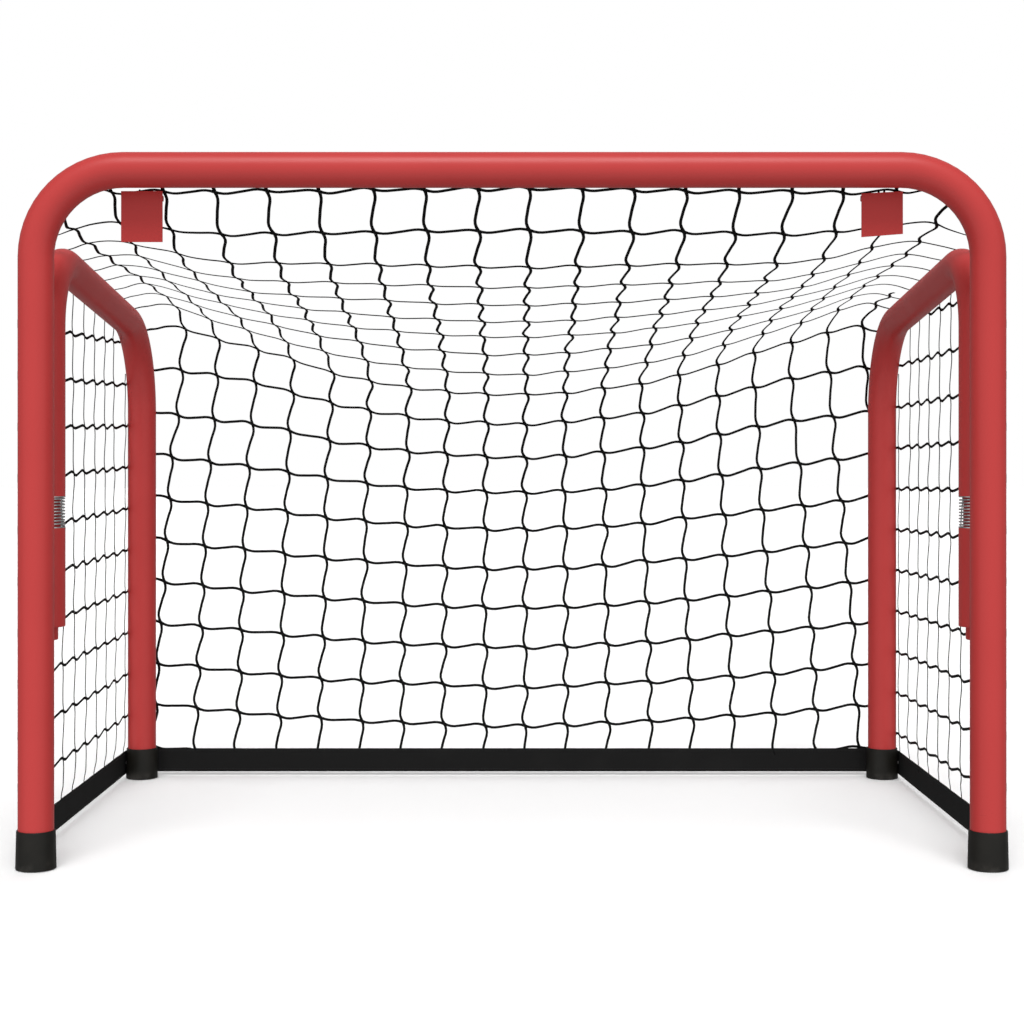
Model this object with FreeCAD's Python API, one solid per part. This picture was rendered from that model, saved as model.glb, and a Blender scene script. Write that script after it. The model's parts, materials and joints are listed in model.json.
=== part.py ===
import FreeCAD, Part
import math
import os

from FreeCAD import Vector

# Folding street hockey goal. Millimetres, +Z up, mouth towards -Y.
# The origin is on the floor, half way between the two posts in X and half way
# between the foot caps of the posts and the rear of the base strap in Y.
# Everything below is drawn with Y measured from the plane of the posts, and
# moved forward by DEPTH_SHIFT when it is written.

# ---- driving dimensions ----
TUBE_OD = 38.0
TUBE_WALL = 1.5
POST_X = 508.0            # post axes, and the side frames' own plane
BAR_Z = 745.0             # crossbar axis
CORNER_R = 93.0           # crossbar corners, on the axis

HINGE_Y = 50.0            # the side frames' hinge axis behind the posts
REAR_Y = 566.0            # rear leg axis
FRONT_BEND_R = 75.0
REAR_BEND_R = 120.0
CREST_Z = 656.0           # highest point of a side frame's axis
RUN_FALL_DEG = 6.2        # the top run falls to the rear
RUN_NORMAL_DEG = 90.0 - RUN_FALL_DEG

CAP_TOP_R = 20.6
CAP_FOOT_R = 21.5
CAP_HEIGHT = 41.0
CAP_FLOOR = 6.0
CAP_EDGE_R = 0.8

SLEEVE_Z0 = 253.4
SLEEVE_Z1 = 361.4
SLEEVE_WALL = 2.0
SLEEVE_EDGE_R = 1.2
PLATE_WIDTH = 14.0        # the two blocks that join a sleeve to its post
PLATE_DEPTH = 28.0
PLATE_HEIGHT = 30.0
PLATE_INSET = 10.0        # from the sleeve's ends
BUSH_LENGTH = 22.0
WASHER_T = 1.2
SPRING_Z0 = SLEEVE_Z1 + WASHER_T
SIDE_TUBE_Z0 = 396.0
SPRING_Z1 = SIDE_TUBE_Z0 - WASHER_T
SPRING_WIRE_R = 1.1
SPRING_MEAN_R = 17.7
SPRING_TURNS = 9
PIVOT_R = 14.0
STUB_R = 11.35
STUB_Z0 = 239.0
STEP_Z = 300.0
STEP_BEVEL = 2.0
STUB_BEVEL = 1.0
PLUG_TOP_Z = 432.0
PIVOT_BORE_R = 8.0
RUNNING_GAP = 0.05
CONTACT_GAP = 0.1         # between parts that rest on each other
PIN_R = 3.0
PIN_LENGTH = 30.0

STRAP_Z0 = 4.5
STRAP_Z1 = 36.5
STRAP_T = 1.6
STRAP_R = 22.0            # inner face of the strap from a leg's axis
STRAP_SPLIT = 4.0         # the side run starts this far behind the hinge axis
NET_T = 1.2               # thickness that stands for the cords
NET_HALF = POST_X - 0.6   # half width of the top and rear nets, and of the rear strap
NET_GAP = 0.4             # net to tube
SCREW_R = 2.0
SCREW_HEAD_R = 5.0
SCREW_HEAD_H = 2.4
SCREW_LENGTH = 9.0
RECESS_R = 1.6
RECESS_DEPTH = 1.2
SCREW_Z = 20.5
SCREW_OFFSET = 4.0        # front screw, inwards from the post's axis

MESH = 57.0               # net mesh, across
MESH_UP = 55.3            # net mesh, upwards
MESH_START = 18.0         # first cord right of the middle
BAR_CLIPS = range(-7, 7)  # crossbar clips, counted from MESH_START
POST_CLIPS = 10
POST_CLIP_Z = 84.0        # lowest clip on a post
POST_CLIP_TURN = 45.0     # post clips look to the rear and outwards
TAB_INNER_X = 376.9
TAB_WIDTH = 44.7
TAB_T = 1.2
TAB_FACE_Y = 21.0
# each tab's corners, bottom and top, from its end nearer the left post
TAB_BOTTOM_Z = {"left": (670.6, 670.6), "right": (675.9, 679.4)}
TAB_TOP_Z = {"left": (725.6, 725.6), "right": (722.9, 725.4)}
TAB_ROD_R = 1.1
TAB_KNUCKLE_R = 3.2
TAB_KNUCKLE_LENGTH = 15.0
TAB_ROD_Z = 718.0
TAB_WEB_HEIGHT = 3.0      # rib between a tab's plate and its knuckles
TIE_R = 0.8               # cord loops that tie the rod to the net
TIE_LOOP_R = TAB_ROD_R + 1.0
TIE_RISE = 7.2
TIE_STEP = 3.0

TUBE_R = TUBE_OD / 2
TUBE_BORE_R = TUBE_R - TUBE_WALL
SLEEVE_BORE_R = TUBE_R - SLEEVE_WALL
TAB_ROD_Y = TAB_FACE_Y + TAB_T + TAB_KNUCKLE_R
FRONT_EDGE_Y = -CAP_FOOT_R
REAR_EDGE_Y = REAR_Y + STRAP_R + STRAP_T
DEPTH_SHIFT = (FRONT_EDGE_Y + REAR_EDGE_Y) / 2
SIDES = {"left": -1, "right": 1}

X_AXIS = Vector(1, 0, 0)
Y_AXIS = Vector(0, 1, 0)
Z_AXIS = Vector(0, 0, 1)

os.makedirs("parts", exist_ok=True)


def save(shape, name):
    """Write one node, with the origin under the middle of the goal."""
    moved = shape.copy()
    moved.translate(Vector(0, -DEPTH_SHIFT, 0))
    moved.exportStep("parts/" + name + ".step")


def group(shapes):
    return Part.makeCompound(shapes)


def line(a, b):
    return Part.makeLine(a, b)


def arc(a, middle, b):
    return Part.Arc(a, middle, b).toShape()


def ring_face(centre, normal, outer_r, inner_r):
    outer = Part.Wire(Part.makeCircle(outer_r, centre, normal))
    inner = Part.Wire(Part.makeCircle(inner_r, centre, normal))
    return Part.makeFace([outer, inner], "Part::FaceMakerBullseye")


def turned(x, y, steps):
    """A turned solid from (radius, z) points, about a vertical axis."""
    points = [Vector(x + r, y, z) for r, z in steps]
    outline = Part.makePolygon(points + points[:1])
    return Part.Face(outline).revolve(Vector(x, y, 0), Z_AXIS, 360)


def tube_along(path, start, direction):
    return path.makePipe(ring_face(start, direction, TUBE_R, TUBE_BORE_R))


# ---- front frame: one bent tube ----
def front_frame_path():
    low = CAP_FLOOR
    bend_z = BAR_Z - CORNER_R
    bend_x = POST_X - CORNER_R
    diagonal = CORNER_R * math.sqrt(0.5)
    left_mid = Vector(-bend_x - diagonal, 0, bend_z + diagonal)
    right_mid = Vector(bend_x + diagonal, 0, bend_z + diagonal)
    return Part.Wire([
        line(Vector(-POST_X, 0, low), Vector(-POST_X, 0, bend_z)),
        arc(Vector(-POST_X, 0, bend_z), left_mid, Vector(-bend_x, 0, BAR_Z)),
        line(Vector(-bend_x, 0, BAR_Z), Vector(bend_x, 0, BAR_Z)),
        arc(Vector(bend_x, 0, BAR_Z), right_mid, Vector(POST_X, 0, bend_z)),
        line(Vector(POST_X, 0, bend_z), Vector(POST_X, 0, low)),
    ])


# ---- side frame: one bent tube with a falling top run ----
def on_bend(centre_y, centre_z, radius, degrees):
    """Height and depth of a point on a bend, the angle counted from +Y."""
    a = math.radians(degrees)
    return centre_y + radius * math.cos(a), centre_z + radius * math.sin(a)


def bend_centres():
    """Depth and height of the front bend's centre and of the rear bend's."""
    front = (HINGE_Y + FRONT_BEND_R, CREST_Z - FRONT_BEND_R)
    start = on_bend(*front, FRONT_BEND_R, RUN_NORMAL_DEG)
    rear_y = REAR_Y - REAR_BEND_R
    end_y, over_centre = on_bend(rear_y, 0, REAR_BEND_R, RUN_NORMAL_DEG)
    fall = math.tan(math.radians(RUN_FALL_DEG)) * (end_y - start[0])
    return front, (rear_y, start[1] - fall - over_centre)


def side_wire(x, first_z, last_z, out=0.0, whole=True):
    """The side frame's axis as a wire, moved outwards in its own plane by out."""
    front, rear = bend_centres()
    f_r = FRONT_BEND_R + out
    r_r = REAR_BEND_R + out

    def at(point):
        return Vector(x, point[0], point[1])

    edges = []
    run_a = on_bend(*front, f_r, RUN_NORMAL_DEG)
    run_b = on_bend(*rear, r_r, RUN_NORMAL_DEG)
    if whole:
        leg = on_bend(*front, f_r, 180)
        middle = on_bend(*front, f_r, (180 + RUN_NORMAL_DEG) / 2)
        edges.append(line(Vector(x, leg[0], first_z), at(leg)))
        edges.append(arc(at(leg), at(middle), at(run_a)))
    edges.append(line(at(run_a), at(run_b)))
    foot = on_bend(*rear, r_r, 0)
    edges.append(arc(at(run_b), at(on_bend(*rear, r_r, RUN_NORMAL_DEG / 2)), at(foot)))
    edges.append(line(at(foot), Vector(x, foot[0], last_z)))
    return Part.Wire(edges)


# ---- foot cap: a tapered rubber cup pushed over the tube's end ----
def foot_cap(x, y):
    outer = Part.makeCone(CAP_FOOT_R, CAP_TOP_R, CAP_HEIGHT, Vector(x, y, 0))
    bore = Part.makeCylinder(TUBE_R, CAP_HEIGHT, Vector(x, y, CAP_FLOOR))
    rims = [e for e in outer.Edges if len(e.Vertexes) == 1]
    return outer.makeFillet(CAP_EDGE_R, rims).cut(bore)


def screw(seat, direction):
    """A dome-headed screw, its head's underside at seat, its shank along direction."""
    top = SCREW_HEAD_H
    shoulder = Vector(SCREW_HEAD_R * 0.75, 0, SCREW_HEAD_H * 0.68)
    outline = Part.Wire([
        line(Vector(0, 0, -SCREW_LENGTH), Vector(SCREW_R, 0, -SCREW_LENGTH)),
        line(Vector(SCREW_R, 0, -SCREW_LENGTH), Vector(SCREW_R, 0, 0)),
        line(Vector(SCREW_R, 0, 0), Vector(SCREW_HEAD_R, 0, 0)),
        arc(Vector(SCREW_HEAD_R, 0, 0), shoulder, Vector(RECESS_R, 0, top)),
        line(Vector(RECESS_R, 0, top), Vector(RECESS_R, 0, top - RECESS_DEPTH)),
        line(Vector(RECESS_R, 0, top - RECESS_DEPTH), Vector(0, 0, top - RECESS_DEPTH)),
        line(Vector(0, 0, top - RECESS_DEPTH), Vector(0, 0, -SCREW_LENGTH)),
    ])
    body = Part.Face(outline).revolve(Vector(0, 0, 0), Z_AXIS, 360)
    body.Placement = FreeCAD.Placement(seat, FreeCAD.Rotation(Z_AXIS, direction * -1))
    return body


def screw_hole(seat, direction):
    return Part.makeCylinder(SCREW_R, SCREW_LENGTH, seat, direction)


def front_screw_seat(side):
    """The screw that holds the strap's end stands behind the post's foot cap."""
    seat_y = CAP_FOOT_R + CONTACT_GAP + STRAP_T
    return Vector(side * (POST_X - SCREW_OFFSET), seat_y, SCREW_Z)


def rear_screw_seat(side):
    """The screw through strap, cap and tube stands on the rear leg's outer side."""
    return Vector(side * (POST_X + STRAP_R + STRAP_T), REAR_Y, SCREW_Z)


# ---- hinge: welded sleeve, bushes, stepped pivot, spring and washers ----
def hinge_sleeve(side):
    x = side * POST_X
    height = SLEEVE_Z1 - SLEEVE_Z0
    outer = Part.makeCylinder(TUBE_R, height, Vector(x, HINGE_Y, SLEEVE_Z0))
    rims = [e for e in outer.Edges if len(e.Vertexes) == 1]
    low = [e for e in rims if e.CenterOfMass.z < SLEEVE_Z0 + 1]
    outer = outer.makeFillet(SLEEVE_EDGE_R, low)
    bore = Part.makeCylinder(SLEEVE_BORE_R, height, Vector(x, HINGE_Y, SLEEVE_Z0))
    return outer.cut(bore)


def sleeve_plates(side):
    """Two spacer blocks between post and sleeve, saddled to both tubes."""
    x = side * POST_X
    post = Part.makeCylinder(TUBE_R, BAR_Z, Vector(x, 0, 0))
    sleeve = Part.makeCylinder(TUBE_R, BAR_Z, Vector(x, HINGE_Y, 0))
    low_x = x - PLATE_WIDTH / 2
    low_y = (HINGE_Y - PLATE_DEPTH) / 2
    blocks = []
    for z in (SLEEVE_Z0 + PLATE_INSET, SLEEVE_Z1 - PLATE_INSET - PLATE_HEIGHT):
        block = Part.makeBox(PLATE_WIDTH, PLATE_DEPTH, PLATE_HEIGHT, Vector(low_x, low_y, z))
        blocks.append(block.cut(post).cut(sleeve))
    return group(blocks)


def bush(side, bore_r, z0, z1):
    return turned(side * POST_X, HINGE_Y, [
        (bore_r, z0), (SLEEVE_BORE_R, z0), (SLEEVE_BORE_R, z1), (bore_r, z1)])


def pivot_tube(side):
    """Stepped tube: a plug in the side frame, a body in the spring, a stub below."""
    x = side * POST_X
    body = turned(x, HINGE_Y, [
        (PIVOT_BORE_R, STUB_Z0), (STUB_R - STUB_BEVEL, STUB_Z0), (STUB_R, STUB_Z0 + STUB_BEVEL),
        (STUB_R, STEP_Z), (PIVOT_R, STEP_Z + STEP_BEVEL), (PIVOT_R, SIDE_TUBE_Z0),
        (TUBE_BORE_R, SIDE_TUBE_Z0), (TUBE_BORE_R, PLUG_TOP_Z), (PIVOT_BORE_R, PLUG_TOP_Z)])
    return body.cut(retaining_pin(side))


def retaining_pin(side):
    """Cross pin under the sleeve: it keeps the pivot from lifting out."""
    pin_z = SLEEVE_Z0 - PIN_R - CONTACT_GAP
    start = Vector(side * POST_X, HINGE_Y - PIN_LENGTH / 2, pin_z)
    return Part.makeCylinder(PIN_R, PIN_LENGTH, start, Y_AXIS)


def washer(side, z0):
    return turned(side * POST_X, HINGE_Y, [
        (PIVOT_R + RUNNING_GAP, z0), (TUBE_R, z0),
        (TUBE_R, z0 + WASHER_T), (PIVOT_R + RUNNING_GAP, z0 + WASHER_T)])


def spring(side):
    height = SPRING_Z1 - SPRING_Z0 - 2 * (SPRING_WIRE_R + CONTACT_GAP)
    helix = Part.makeHelix(height / SPRING_TURNS, height, SPRING_MEAN_R)
    start = Vector(SPRING_MEAN_R, 0, 0)
    wire = Part.Wire(Part.makeCircle(SPRING_WIRE_R, start, Y_AXIS))
    coil = Part.Wire(helix).makePipeShell([wire], True, True)
    coil.translate(Vector(side * POST_X, HINGE_Y, SPRING_Z0 + SPRING_WIRE_R + CONTACT_GAP))
    return coil


# ---- net clips: small saddles on the rear of the tubes, each with a cord hole ----
CLIP_WIDTH = 9.0
CLIP_HEIGHT = 16.0
CLIP_STAND = 6.5
CLIP_EDGE_R = 1.5
CORD_HOLE_R = 1.9


def net_clip():
    """A clip behind a bar that runs along X through the origin."""
    depth = TUBE_R + CLIP_STAND
    low_x = -CLIP_WIDTH / 2
    body = Part.makeBox(CLIP_WIDTH, depth, CLIP_HEIGHT, Vector(low_x, 0, -CLIP_HEIGHT / 2))
    outer = [e for e in body.Edges if e.CenterOfMass.y > depth - CONTACT_GAP]
    body = body.makeFillet(CLIP_EDGE_R, outer)
    bar = Part.makeCylinder(TUBE_R, CLIP_WIDTH, Vector(low_x, 0, 0), X_AXIS)
    cord_start = Vector(low_x, TUBE_R + CLIP_STAND / 2, 0)
    hole = Part.makeCylinder(CORD_HOLE_R, CLIP_WIDTH, cord_start, X_AXIS)
    return body.cut(bar).cut(hole)


def crossbar_clips():
    clips = []
    for k in BAR_CLIPS:
        clip = net_clip()
        clip.translate(Vector(MESH_START + MESH * k, 0, BAR_Z))
        clips.append(clip)
    return group(clips)


def post_clips(side):
    """Clips down a post, turned to its rear outer quarter."""
    clips = []
    for k in range(POST_CLIPS):
        clip = net_clip()
        clip.rotate(Vector(0, 0, 0), Y_AXIS, 90)
        clip.rotate(Vector(0, 0, 0), Z_AXIS, -side * POST_CLIP_TURN)
        clip.translate(Vector(side * POST_X, 0, POST_CLIP_Z + MESH_UP * k))
        clips.append(clip)
    return group(clips)


# ---- corner tabs: flat red flaps hung on a short rod behind the crossbar ----
def tab_x0(side):
    return TAB_INNER_X if side > 0 else -TAB_INNER_X - TAB_WIDTH


def corner_tab(name):
    x0 = tab_x0(SIDES[name])
    x1 = x0 + TAB_WIDTH
    low, high = TAB_BOTTOM_Z[name], TAB_TOP_Z[name]
    rod_start = Vector(x0, TAB_ROD_Y, TAB_ROD_Z)
    back_y = TAB_FACE_Y + TAB_T
    corners = [(x0, low[0]), (x1, low[1]), (x1, high[1]), (x0, high[0]), (x0, low[0])]
    outline = Part.makePolygon([Vector(x, TAB_FACE_Y, z) for x, z in corners])
    tab = Part.Face(outline).extrude(Y_AXIS * TAB_T)
    for step in (0.0, TAB_WIDTH - TAB_KNUCKLE_LENGTH):
        start = rod_start + Vector(step, 0, 0)
        knuckle = Part.makeCylinder(TAB_KNUCKLE_R, TAB_KNUCKLE_LENGTH, start, X_AXIS)
        web_corner = Vector(x0 + step, back_y, TAB_ROD_Z - TAB_WEB_HEIGHT / 2)
        web = Part.makeBox(TAB_KNUCKLE_LENGTH, TAB_KNUCKLE_R, TAB_WEB_HEIGHT, web_corner)
        tab = tab.fuse(knuckle).fuse(web)
    bore = Part.makeCylinder(TAB_ROD_R + RUNNING_GAP, TAB_WIDTH, rod_start, X_AXIS)
    return tab.cut(bore).removeSplitter()


def tab_rod(side):
    start = Vector(tab_x0(side), TAB_ROD_Y, TAB_ROD_Z)
    return Part.makeCylinder(TAB_ROD_R, TAB_WIDTH, start, X_AXIS)


def tab_ties(side):
    """Two cord loops between the knuckles, from the rod up to the net's head row."""
    y = TAB_ROD_Y
    low = TAB_ROD_Z
    high = TAB_ROD_Z + TIE_RISE
    ties = []
    for step in (-TIE_STEP, TIE_STEP):
        x = tab_x0(side) + TAB_WIDTH / 2 + step
        loop = Part.Wire([
            line(Vector(x, y - TIE_LOOP_R, low), Vector(x, y - TIE_LOOP_R, high)),
            arc(Vector(x, y - TIE_LOOP_R, high), Vector(x, y, high + TIE_LOOP_R),
                Vector(x, y + TIE_LOOP_R, high)),
            line(Vector(x, y + TIE_LOOP_R, high), Vector(x, y + TIE_LOOP_R, low)),
            arc(Vector(x, y + TIE_LOOP_R, low), Vector(x, y, low - TIE_LOOP_R),
                Vector(x, y - TIE_LOOP_R, low)),
        ])
        ring = Part.makeCircle(TIE_R, Vector(x, y - TIE_LOOP_R, low), Z_AXIS)
        ties.append(loop.makePipe(Part.Face(Part.Wire(ring))))
    return group(ties)


# ---- base strap: flat webbing round the outside of the rear legs ----
def quarter_wrap(side, inner_r, thickness, z0, z1):
    """A quarter ring round a rear leg, from its outer side to its rear."""
    x = side * POST_X
    height = z1 - z0
    outer_r = inner_r + thickness
    outer = Part.makeCylinder(outer_r, height, Vector(x, REAR_Y, z0))
    inner = Part.makeCylinder(inner_r, height, Vector(x, REAR_Y, z0))
    low_x = x if side > 0 else x - outer_r
    keep = Part.makeBox(outer_r, outer_r, height, Vector(low_x, REAR_Y, z0))
    return outer.cut(inner).common(keep)


def side_band(side, inner_r, thickness, z0, z1, front_y):
    x = side * (POST_X + inner_r)
    low_x = x if side > 0 else x - thickness
    return Part.makeBox(thickness, REAR_Y - front_y, z1 - z0, Vector(low_x, front_y, z0))


def side_strap(side):
    band = side_band(side, STRAP_R, STRAP_T, STRAP_Z0, STRAP_Z1, HINGE_Y + STRAP_SPLIT)
    band = band.fuse(quarter_wrap(side, STRAP_R, STRAP_T, STRAP_Z0, STRAP_Z1)).removeSplitter()
    return band.cut(screw_hole(rear_screw_seat(side), Vector(-side, 0, 0)))


def rear_strap():
    corner = Vector(-NET_HALF, REAR_Y + STRAP_R, STRAP_Z0)
    return Part.makeBox(2 * NET_HALF, STRAP_T, STRAP_Z1 - STRAP_Z0, corner)


STRAP_TIP = 14.0          # the end's tip, inwards from the post's axis
STRAP_BEND = [(6.0, 0.0), (17.0, 9.0)]    # out from the post's axis, back from the flat end
STRAP_LEAD = 8.0          # straight stretch before the hinge axis


def strap_end(side):
    """The strap's front end: out of the side run, bent in behind the post's cap."""
    flat_y = CAP_FOOT_R + CONTACT_GAP + STRAP_T / 2
    far_x = side * (POST_X + STRAP_R + STRAP_T / 2)
    points = [(side * (POST_X - STRAP_TIP), flat_y)]
    for out, back in STRAP_BEND:
        points.append((side * (POST_X + out), flat_y + back))
    points += [(far_x, HINGE_Y - STRAP_LEAD), (far_x, HINGE_Y)]
    near = []
    far = []
    for i, (px, py) in enumerate(points):
        before = points[max(i - 1, 0)]
        after = points[min(i + 1, len(points) - 1)]
        dx = after[0] - before[0]
        dy = after[1] - before[1]
        reach = STRAP_T / 2 / math.hypot(dx, dy)
        near.append(Vector(px + dy * reach, py - dx * reach, STRAP_Z0))
        far.append(Vector(px - dy * reach, py + dx * reach, STRAP_Z0))
    ring = near + far[::-1]
    outline = Part.Face(Part.makePolygon(ring + ring[:1]))
    band = outline.extrude(Vector(0, 0, STRAP_Z1 - STRAP_Z0))
    return band.cut(screw_hole(front_screw_seat(side), Vector(0, -1, 0)))


# ---- net panels: closed sheets that stand for the knotless cord mesh ----
NET_LOW_Z = CAP_HEIGHT + 1.0
SIDE_NET_START = 2.0      # a side panel's front edge, behind the hinge axis
SIDE_NET_RISE = 20.0      # its front corner, above the front bend's centre
REAR_FOLD_Z = 180.0       # the rear panel hangs straight below this
REAR_HANG_Y = REAR_Y + STRAP_R - NET_GAP - NET_T
LEG_TOP_Z = 400.0         # lowest grid row that still lies on the legs
EDGE_GAP = 1.2            # extra room where the net's straight chords pass the bend
RUN_POINTS = 7
BEND_POINTS = 3
CORNER_DROP = 63.0        # how far the head row follows the crossbar's corners down


def side_net(side):
    """The panel outside a side frame, wrapped over its top run and rear leg."""
    x = side * (POST_X + TUBE_R + NET_GAP)
    front, rear = bend_centres()
    low_front = Vector(x, HINGE_Y + SIDE_NET_START, NET_LOW_Z)
    high_front = Vector(x, low_front.y, front[1] + SIDE_NET_RISE)
    run_a = Vector(x, *on_bend(*front, FRONT_BEND_R, RUN_NORMAL_DEG))
    run_b = Vector(x, *on_bend(*rear, REAR_BEND_R, RUN_NORMAL_DEG))
    corner = Vector(x, *on_bend(*rear, REAR_BEND_R, RUN_NORMAL_DEG / 2))
    leg_top = Vector(x, *on_bend(*rear, REAR_BEND_R, 0))
    leg_foot = Vector(x, REAR_Y, NET_LOW_Z)
    outline = Part.Wire([
        line(low_front, high_front), line(high_front, run_a), line(run_a, run_b),
        arc(run_b, corner, leg_top), line(leg_top, leg_foot), line(leg_foot, low_front),
    ])
    panel = Part.Face(outline).extrude(Vector(side * NET_T, 0, 0))
    return panel.fuse(tube_wrap(side)).removeSplitter()


def tube_wrap(side):
    """A quarter ring that runs along the top run and down the rear leg."""
    path = side_wire(side * POST_X, 0, NET_LOW_Z, whole=False)
    start = path.OrderedVertexes[0].Point
    fall = math.radians(RUN_FALL_DEG)
    up = Vector(0, math.sin(fall), math.cos(fall))
    out = Vector(side, 0, 0)
    diagonal = (up + out) * math.sqrt(0.5)
    r0 = TUBE_R + NET_GAP
    r1 = r0 + NET_T
    section = Part.Face(Part.Wire([
        line(start + out * r0, start + out * r1),
        arc(start + out * r1, start + diagonal * r1, start + up * r1),
        line(start + up * r1, start + up * r0),
        arc(start + up * r0, start + diagonal * r0, start + out * r0),
    ]))
    return path.makePipe(section)


# The middle of the net hangs in a deep curve; its edges lie on the side frames.
MIDDLE_LINE = [(29.5, 733), (60, 687), (103, 652), (180, 626), (259, 602), (336, 579),
               (412, 546), (461, 521), (501, 484), (532, 439), (557, 391), (577, 340),
               (586.6, 286)]
FRONT_EDGE = [(29.5, 668), (78, 677)]
SAG_POWER = 1.65


def edge_line():
    """As many points as MIDDLE_LINE, along the side frame, just clear of its tube."""
    out = TUBE_R + NET_GAP + NET_T / 2 + EDGE_GAP
    front, rear = bend_centres()
    run_a = Vector(0, *on_bend(*front, FRONT_BEND_R + out, RUN_NORMAL_DEG))
    run_b = Vector(0, *on_bend(*rear, REAR_BEND_R + out, RUN_NORMAL_DEG))
    points = list(FRONT_EDGE)
    for i in range(RUN_POINTS):
        p = run_a + (run_b - run_a) * (i / (RUN_POINTS - 1))
        points.append((p.y, p.z))
    # the corners of a polygon that stands round the bend, touching it
    step = RUN_NORMAL_DEG / BEND_POINTS
    corner_r = (REAR_BEND_R + out) / math.cos(math.radians(step / 2))
    for i in range(BEND_POINTS):
        points.append(on_bend(*rear, corner_r, RUN_NORMAL_DEG - step * (i + 0.5)))
    points.append((REAR_Y + out, LEG_TOP_Z))
    return points


def bar_height(x):
    """Height of the net's head row under the crossbar and its corners."""
    past = max(0.0, abs(x) - (POST_X - CORNER_R))
    drop = CORNER_R - math.sqrt(max(CORNER_R ** 2 - past ** 2, 0))
    return MIDDLE_LINE[0][1] - min(drop, CORNER_DROP)


def net_grid(columns=13):
    grid = []
    for row, (middle, edge) in enumerate(zip(MIDDLE_LINE, edge_line())):
        strip_points = []
        for c in range(columns):
            x = NET_HALF * (2 * c / (columns - 1) - 1)
            share = abs(x / NET_HALF) ** SAG_POWER
            y = middle[0] + (edge[0] - middle[0]) * share
            z = middle[1] + (edge[1] - middle[1]) * share
            if row == 0:
                z = bar_height(x)
            strip_points.append(Vector(x, y, z))
        grid.append(strip_points)
    return grid


def sheet_solid(grid, thickness):
    """A closed faceted sheet: the grid, and the same grid moved along its normals."""
    rows, columns = len(grid), len(grid[0])
    moved = []
    for r in range(rows):
        strip_points = []
        for c in range(columns):
            across = grid[r][min(c + 1, columns - 1)] - grid[r][max(c - 1, 0)]
            along = grid[min(r + 1, rows - 1)][c] - grid[max(r - 1, 0)][c]
            normal = across.cross(along)
            normal.x = 0
            normal.normalize()
            strip_points.append(grid[r][c] + normal * thickness)
        moved.append(strip_points)

    def quad(a, b, c, d):
        return [Part.Face(Part.makePolygon([a, b, c, a])), Part.Face(Part.makePolygon([a, c, d, a]))]

    faces = []
    for r in range(rows - 1):
        for c in range(columns - 1):
            for side in (grid, moved):
                faces += quad(side[r][c], side[r][c + 1], side[r + 1][c + 1], side[r + 1][c])
    for c in range(columns - 1):
        for r in (0, rows - 1):
            faces += quad(grid[r][c], grid[r][c + 1], moved[r][c + 1], moved[r][c])
    for r in range(rows - 1):
        for c in (0, columns - 1):
            faces += quad(grid[r][c], grid[r + 1][c], moved[r + 1][c], moved[r][c])
    shell = Part.makeShell(faces)
    shell.sewShape()
    solid = Part.makeSolid(shell)
    if solid.Volume < 0:
        solid.reverse()
    return solid


TOP_ROWS = 9              # rows of the grid in the top panel, the rest in the rear one


def top_net():
    return sheet_solid(net_grid()[:TOP_ROWS], NET_T)


def rear_net():
    rows = net_grid()[TOP_ROWS - 1:]
    last = rows[-1]
    for z in (REAR_FOLD_Z, NET_LOW_Z):
        rows.append([Vector(p.x, REAR_HANG_Y, z) for p in last])
    return sheet_solid(rows, NET_T)


# ---- write every node ----
front_path = front_frame_path()
frame = tube_along(front_path, Vector(-POST_X, 0, CAP_FLOOR), Z_AXIS)
for s in SIDES.values():
    frame = frame.cut(screw_hole(front_screw_seat(s), Vector(0, -1, 0)))
save(frame, "front_frame_tube")
save(crossbar_clips(), "crossbar_net_clips")
save(top_net(), "top_net_panel")
save(rear_net(), "rear_net_panel")
save(rear_strap(), "rear_base_strap")

for name, s in SIDES.items():
    inward = Vector(-s, 0, 0)
    front_hole = screw_hole(front_screw_seat(s), Vector(0, -1, 0))
    rear_hole = screw_hole(rear_screw_seat(s), inward)
    save(foot_cap(s * POST_X, 0).cut(front_hole), name + "_front_foot_cap")
    save(foot_cap(s * POST_X, REAR_Y).cut(rear_hole), name + "_rear_foot_cap")
    side_path = side_wire(s * POST_X, SIDE_TUBE_Z0, CAP_FLOOR)
    side_tube = tube_along(side_path, Vector(s * POST_X, HINGE_Y, SIDE_TUBE_Z0), Z_AXIS)
    save(side_tube.cut(rear_hole), name + "_side_frame_tube")
    save(hinge_sleeve(s), name + "_hinge_sleeve")
    save(sleeve_plates(s), name + "_sleeve_plates")
    upper_bush = bush(s, PIVOT_R + RUNNING_GAP, SLEEVE_Z1 - BUSH_LENGTH, SLEEVE_Z1)
    lower_bush = bush(s, STUB_R + RUNNING_GAP, SLEEVE_Z0, SLEEVE_Z0 + BUSH_LENGTH)
    save(upper_bush, name + "_upper_bush")
    save(lower_bush, name + "_lower_bush")
    save(pivot_tube(s), name + "_pivot_tube")
    save(retaining_pin(s), name + "_retaining_pin")
    save(washer(s, SLEEVE_Z1), name + "_spring_seat")
    save(washer(s, SPRING_Z1), name + "_thrust_washer")
    save(spring(s), name + "_hinge_spring")
    save(post_clips(s), name + "_post_net_clips")
    save(corner_tab(name), name + "_corner_tab")
    save(tab_rod(s), name + "_tab_rod")
    save(tab_ties(s), name + "_tab_ties")
    save(side_net(s), name + "_net_panel")
    save(side_strap(s), name + "_base_strap")
    save(strap_end(s), name + "_strap_end")
    save(screw(front_screw_seat(s), Vector(0, -1, 0)), name + "_front_strap_screw")
    save(screw(rear_screw_seat(s), inward), name + "_rear_strap_screw")
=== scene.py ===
import json
import math
import random

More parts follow.
